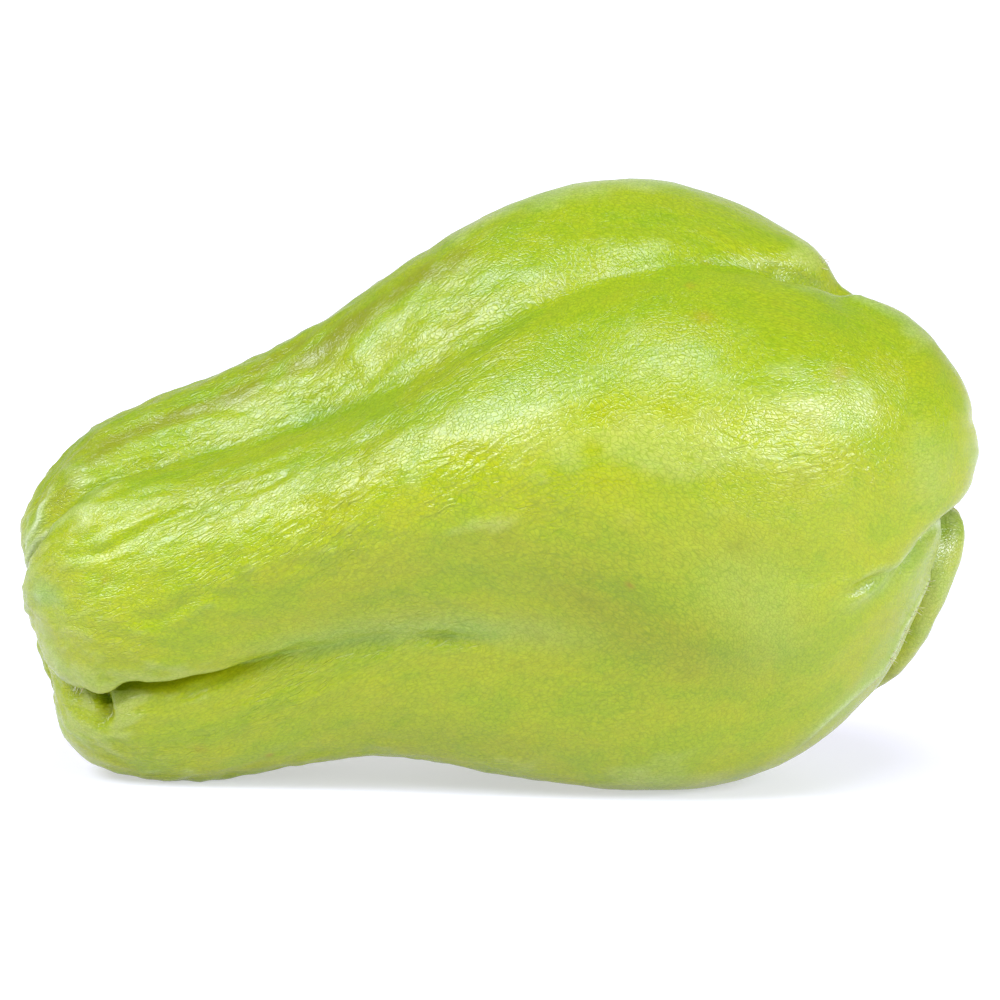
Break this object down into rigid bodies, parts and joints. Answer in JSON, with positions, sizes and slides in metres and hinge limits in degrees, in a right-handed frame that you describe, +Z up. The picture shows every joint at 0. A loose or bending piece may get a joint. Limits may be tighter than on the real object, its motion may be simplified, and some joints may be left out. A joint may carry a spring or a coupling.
{
  "type": "chayote squash",
  "caption": "Pear-shaped green chayote fruit lying on its side, with rounded lobes, a narrow stem end and a puckered blossom end.",
  "frame": {"origin": "on the surface that the fruit lies on, under the middle of its length and width", "axes": "+X from the stem end to the blossom end, +Y away from the front, +Z up from the surface"},
  "size_m": [0.1346, 0.0756, 0.0841],
  "materials": {
    "skin": "waxy, slightly glossy green skin"
  },
  "bodies": {
    "root": {"fruit": "skin"}
  },
  "joints": []
}
